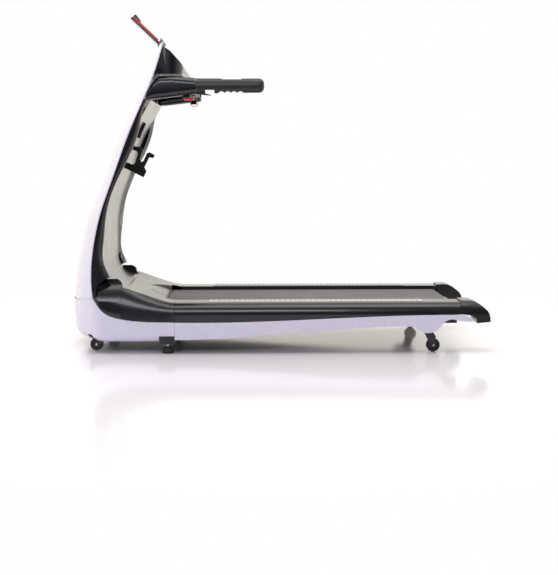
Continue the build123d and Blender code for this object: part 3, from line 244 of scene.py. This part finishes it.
metals = {
    "steel": {"colour": (0.55, 0.55, 0.57), "along": (1, 12, 1), "scale": 220,
              "rough": (0.16, 0.3), "bump": 0.08},
    "alloy": {"colour": (0.74, 0.74, 0.76), "along": (14, 1, 14), "scale": 180,
              "rough": (0.2, 0.34), "bump": 0.06},
}


def makeMetal(name):
    metal = metals[name]
    material = bpy.data.materials.new(name)
    material.use_nodes = True
    tree = material.node_tree
    shader = tree.nodes["Principled BSDF"]
    shader.inputs["Metallic"].default_value = 1.0
    shader.inputs["Base Color"].default_value = (*metal["colour"], 1)
    look = place(tree, "ShaderNodeGroup", node_tree=brushedGroup)
    look.inputs["Along"].default_value = metal["along"]
    look.inputs["Scale"].default_value = metal["scale"]
    look.inputs["Rough Low"].default_value, look.inputs["Rough High"].default_value = metal["rough"]
    tree.links.new(look.outputs["Rough"], shader.inputs["Roughness"])
    bump = place(tree, "ShaderNodeBump", {"Height": look.outputs["Height"]},
                 {"Strength": metal["bump"], "Distance": bumpDepth["brushed"]})
    tree.links.new(bump.outputs["Normal"], shader.inputs["Normal"])
    return material


materials = {name: makeFinish(name) for name in finishes}
materials.update({name: makeMetal(name) for name in metals})
materials["belt"] = makeBelt()
print("materials made:", len(materials))

# each record slot's finish, and the nodes that take another one
slotFinish = {"shell_white": "shellWhite", "gloss_black": "glossBlack", "grey_plastic": "greyPlastic",
              "steel": "steel", "painted_steel": "paintedSteel", "rubber": "rubber",
              "rail_insert": "railInsert", "deck": "deckBoard", "belt": "belt", "alloy": "alloy",
              "display": "display", "grip_black": "gripBlack", "red_rubber": "redRubber",
              "red_plastic": "redPlastic", "red_cord": "redCord"}
nodeFinish = {"motor_hood": "hoodBlack"}

# metres and degrees; softEdges is how wide each piece's corners are eased
smoothing = {"mergeDistance": 1e-5, "flatAngle": 0.05, "sharpAngle": 32, "bevelSteps": 2}
softEdges = {"front_casing": 0.0008, "side_skirts": 0.0008, "side_bands": 0.0012, "end_caps": 0.0015,
             "motor_hood": 0.0015, "knuckle_covers": 0.0015, "mast_shell": 0.001, "mast_ribs": 0.001,
             "console_housing": 0.003, "arms": 0.0025, "base_frame": 0.002, "foot_brackets": 0.002,
             "accessory_bracket": 0.0012, "flap_tray": 0.0012, "flap_plate": 0.0008, "grip_left": 0.0015,
             "grip_right": 0.0015}


# a CAD piece's twin with joined triangles, smooth faces and eased edges
def finishedCopy(node):
    piece = bpy.data.objects.new(node + "_skin", frame["nodes"][node].data.copy())
    scene.collection.objects.link(piece)
    mesh = bmesh.new()
    mesh.from_mesh(piece.data)
    bmesh.ops.remove_doubles(mesh, verts=mesh.verts, dist=smoothing["mergeDistance"])
    bmesh.ops.dissolve_limit(mesh, angle_limit=math.radians(smoothing["flatAngle"]), verts=mesh.verts,
                             edges=mesh.edges)
    mesh.to_mesh(piece.data)
    mesh.free()
    piece.data.shade_smooth()
    piece.data.set_sharp_from_angle(angle=math.radians(smoothing["sharpAngle"]))
    piece.data.materials.clear()
    piece.data.materials.append(materials[nodeFinish.get(node, slotFinish[slotOf[node]])])
    width = softEdges.get(node)
    if width:
        bevel = piece.modifiers.new("easedEdges", "BEVEL")
        bevel.width, bevel.segments, bevel.limit_method = width, smoothing["bevelSteps"], "ANGLE"
        bevel.angle_limit = math.radians(smoothing["sharpAngle"])
        bevel.harden_normals = True
    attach(piece, nodeBody[node])
    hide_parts(node)
    return piece


skins = {node: finishedCopy(node) for node in nodeBody if node != "safety_lanyard"}
print("skins made:", len(skins))

# lanyard: one smooth red cord from the key down and back up to its clip
lanyardSet = {"route": [(-0.330, 0.971), (-0.330, 0.958), (-0.322, 0.946), (-0.308, 0.946),
                        (-0.301, 0.957), (-0.301, 0.968)],
              "side": -0.288, "thickness": 0.0025, "length": 0.061, "roundness": 4, "steps": 12}
lanyardCurve = bpy.data.curves.new("safetyLanyard", "CURVE")
lanyardCurve.dimensions = "3D"
lanyardCurve.bevel_depth = lanyardSet["thickness"] / 2
lanyardCurve.bevel_resolution = lanyardSet["roundness"]
lanyardCurve.resolution_u = lanyardSet["steps"]
lanyardSpline = lanyardCurve.splines.new("NURBS")
lanyardSpline.points.add(len(lanyardSet["route"]) - 1)
for point, (x, z) in zip(lanyardSpline.points, lanyardSet["route"]):
    point.co = (x, lanyardSet["side"], z, 1)
lanyardSpline.order_u = 3
lanyardSpline.use_endpoint_u = True
lanyard = bpy.data.objects.new("safetyLanyard", lanyardCurve)
scene.collection.objects.link(lanyard)
lanyardCurve.materials.append(materials["redCord"])
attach(lanyard, nodeBody["safety_lanyard"])
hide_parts("safety_lanyard")
print("lanyard made")


# a Geometry Nodes tree run once with the given values and kept as a plain mesh
def bakedNodes(tree, values, name, body):
    holder = bpy.data.objects.new(name, bpy.data.meshes.new(name))
    scene.collection.objects.link(holder)
    modifier = holder.modifiers.new("build", "NODES")
    modifier.node_group = tree
    for item in tree.interface.items_tree:
        if item.item_type == "SOCKET" and item.in_out == "INPUT" and item.name in values:
            modifier[item.identifier] = values[item.name]
    graph = bpy.context.evaluated_depsgraph_get()
    made = bpy.data.meshes.new_from_object(holder.evaluated_get(graph))
    holder.modifiers.remove(modifier)
    holder.data = made
    made.shade_smooth()
    made.set_sharp_from_angle(angle=math.radians(smoothing["sharpAngle"]))
    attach(holder, body)
    return holder


# a grid of low blocks, centred on Start
def buildRibTree(material):
    inputs = [("Start", "NodeSocketVector", (0, 0, 0)), ("Columns", "NodeSocketInt", 30),
              ("Rows", "NodeSocketInt", 3),
              ("Pitch X", "NodeSocketFloat", 0.02), ("Pitch Y", "NodeSocketFloat", 0.02),
              ("Rib Length", "NodeSocketFloat", 0.014), ("Rib Width", "NodeSocketFloat", 0.004),
              ("Rib Height", "NodeSocketFloat", 0.001)]
    outputs = [("Geometry", "NodeSocketGeometry")]
    tree, given, out = newTree("tractionRibs", "GeometryNodeTree", inputs, outputs)
    sizes = []
    for count, pitch in (("Columns", "Pitch X"), ("Rows", "Pitch Y")):
        gaps = place(tree, "ShaderNodeMath", {0: given.outputs[count]}, {1: 1.0}, operation="SUBTRACT")
        size = place(tree, "ShaderNodeMath", {0: given.outputs[pitch], 1: gaps.outputs[0]},
                     operation="MULTIPLY")
        sizes.append(size.outputs[0])
    grid = place(tree, "GeometryNodeMeshGrid",
                 {"Size X": sizes[0], "Size Y": sizes[1], "Vertices X": given.outputs["Columns"],
                  "Vertices Y": given.outputs["Rows"]})
    moved = place(tree, "GeometryNodeTransform",
                  {"Geometry": grid.outputs["Mesh"], "Translation": given.outputs["Start"]})
    blockSize = place(tree, "ShaderNodeCombineXYZ",
                      {"X": given.outputs["Rib Length"], "Y": given.outputs["Rib Width"],
                       "Z": given.outputs["Rib Height"]})
    block = place(tree, "GeometryNodeMeshCube", {"Size": blockSize.outputs[0]})
    spread = place(tree, "GeometryNodeInstanceOnPoints",
                   {"Points": moved.outputs["Geometry"], "Instance": block.outputs["Mesh"]})
    real = place(tree, "GeometryNodeRealizeInstances", {"Geometry": spread.outputs["Instances"]})
    painted = place(tree, "GeometryNodeSetMaterial", {"Geometry": real.outputs["Geometry"]})
    painted.inputs["Material"].default_value = material
    tree.links.new(painted.outputs["Geometry"], out.inputs["Geometry"])
    return tree


# traction ribs in rows along each rail insert; fromEdge is the middle row's distance from the outer edge
ribSet = {"Columns": 41, "Rows": 3, "Pitch X": 0.0198, "Pitch Y": 0.017, "Rib Length": 0.013,
          "Rib Width": 0.0045, "Rib Height": 0.0012}
fromEdge = 0.033
ribTree = buildRibTree(materials["railRib"])
insertLow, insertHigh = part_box("rail_inserts")
for label, side in (("Near", -1), ("Far", 1)):
    middle = ((insertLow.x + insertHigh.x) / 2, side * (insertHigh.y - fromEdge), insertHigh.z)
    bakedNodes(ribTree, {"Start": middle, **ribSet}, "tractionRibs" + label, nodeBody["rail_inserts"])
print("traction ribs made")

# studio: pale glossy floor that fades out, soft boxes, warm bright backdrop
floorSet = {"half": 9.0, "drop": 0.0005, "fadeStart": 1.15, "fadeEnd": 2.3, "colour": (0.90, 0.885, 0.93),
            "roughness": 0.12}
floorMesh = bpy.data.meshes.new("studioFloor")
half = floorSet["half"]
floorCorners = [(-half, -half, 0), (half, -half, 0), (half, half, 0), (-half, half, 0)]
floorMesh.from_pydata(floorCorners, [], [(0, 1, 2, 3)])
floor = bpy.data.objects.new("studioFloor", floorMesh)
floor.location.z = -floorSet["drop"]
scene.collection.objects.link(floor)
floorMaterial = bpy.data.materials.new("studioFloor")
floorMaterial.use_nodes = True
tree = floorMaterial.node_tree
shader = tree.nodes["Principled BSDF"]
shader.inputs["Base Color"].default_value = (*floorSet["colour"], 1)
shader.inputs["Roughness"].default_value = floorSet["roughness"]
where = place(tree, "ShaderNodeTexCoord")
away = place(tree, "ShaderNodeVectorMath", {0: where.outputs["Object"]}, operation="LENGTH")
fade = place(tree, "ShaderNodeMapRange", {"Value": away.outputs["Value"]},
             {"From Min": floorSet["fadeStart"], "From Max": floorSet["fadeEnd"]},
             interpolation_type="SMOOTHSTEP")
clear = place(tree, "ShaderNodeBsdfTransparent")
blend = place(tree, "ShaderNodeMixShader",
              {0: fade.outputs["Result"], 1: shader.outputs[0], 2: clear.outputs[0]})
tree.links.new(blend.outputs[0], tree.nodes["Material Output"].inputs["Surface"])
floorMesh.materials.append(floorMaterial)

# the camera sees plain white; the object sees a bright side behind it and a dark one behind the camera
worldSet = {"dark": (0.06, 0.06, 0.075), "bright": (1.22, 1.16, 1.08), "from": -0.80, "to": 0.10}
world = bpy.data.worlds.new("studioWorld")
scene.world = world
world.use_nodes = True
tree = world.node_tree
background = tree.nodes["Background"]
where = place(tree, "ShaderNodeTexCoord")
split = place(tree, "ShaderNodeSeparateXYZ", {"Vector": where.outputs["Generated"]})
behind = place(tree, "ShaderNodeMapRange", {"Value": split.outputs["Y"]},
               {"From Min": worldSet["from"], "From Max": worldSet["to"]}, interpolation_type="SMOOTHSTEP")
sides = place(tree, "ShaderNodeMix", {"Factor": behind.outputs["Result"]}, data_type="RGBA")
sides.inputs["A"].default_value = (*worldSet["dark"], 1)
sides.inputs["B"].default_value = (*worldSet["bright"], 1)
cameraOnly = place(tree, "ShaderNodeLightPath")
seen = place(tree, "ShaderNodeMix", {"Factor": cameraOnly.outputs["Is Camera Ray"],
                                     "A": sides.outputs["Result"]}, data_type="RGBA")
seen.inputs["B"].default_value = (1, 1, 1, 1)
tree.links.new(seen.outputs["Result"], background.inputs["Color"])
background.inputs["Strength"].default_value = 1.0

lightTarget = Vector((-0.1, 0, 0.4))
lights = {
    "topBox": {"place": (-0.1, -0.6, 3.2), "size": (3.0, 1.6), "power": 38, "tint": (1, 0.99, 1)},
    "frontBox": {"place": (-0.6, -4.2, 2.6), "size": (2.6, 1.3), "power": 62, "tint": (0.95, 0.94, 1)},
    "leftBox": {"place": (-3.4, -1.2, 1.6), "size": (1.2, 2.0), "power": 14, "tint": (0.96, 0.95, 1)},
}
for name, made in lights.items():
    data = bpy.data.lights.new(name, "AREA")
    data.shape = "RECTANGLE"
    data.size, data.size_y = made["size"]
    data.energy = made["power"]
    data.color = made["tint"]
    lamp = bpy.data.objects.new(name, data)
    lamp.location = made["place"]
    lamp.rotation_euler = (lightTarget - Vector(made["place"])).to_track_quat("-Z", "Y").to_euler()
    scene.collection.objects.link(lamp)
print("studio made")
